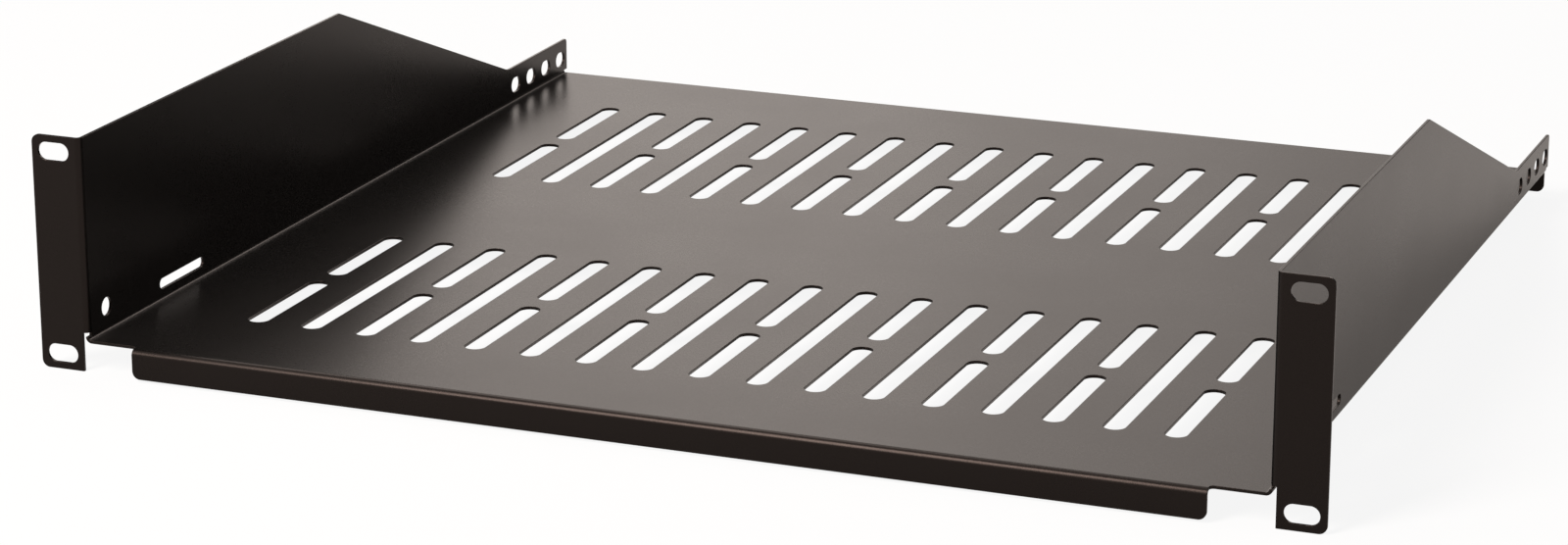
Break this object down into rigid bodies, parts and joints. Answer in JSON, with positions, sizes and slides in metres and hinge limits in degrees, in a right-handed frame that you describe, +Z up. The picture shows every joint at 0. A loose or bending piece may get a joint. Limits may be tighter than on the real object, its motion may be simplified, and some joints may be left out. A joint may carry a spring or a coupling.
{
  "type": "fixed rack shelf",
  "caption": "Vented fixed rack shelf folded from sheet steel, with sloping side walls, slotted mounting ears, a front lip and a rear flange.",
  "frame": {"origin": "middle of the four ear slots, on the rear faces of the ears, where they bear on the rack posts", "axes": "+X across the rack to the right as seen from the front, +Y back into the rack, +Z up"},
  "size_m": [0.4826, 0.4266, 0.0882],
  "materials": {
    "powder_coat": "satin black powder coat with a fine texture"
  },
  "bodies": {
    "root": {"shelf_body": "powder_coat"}
  },
  "joints": []
}
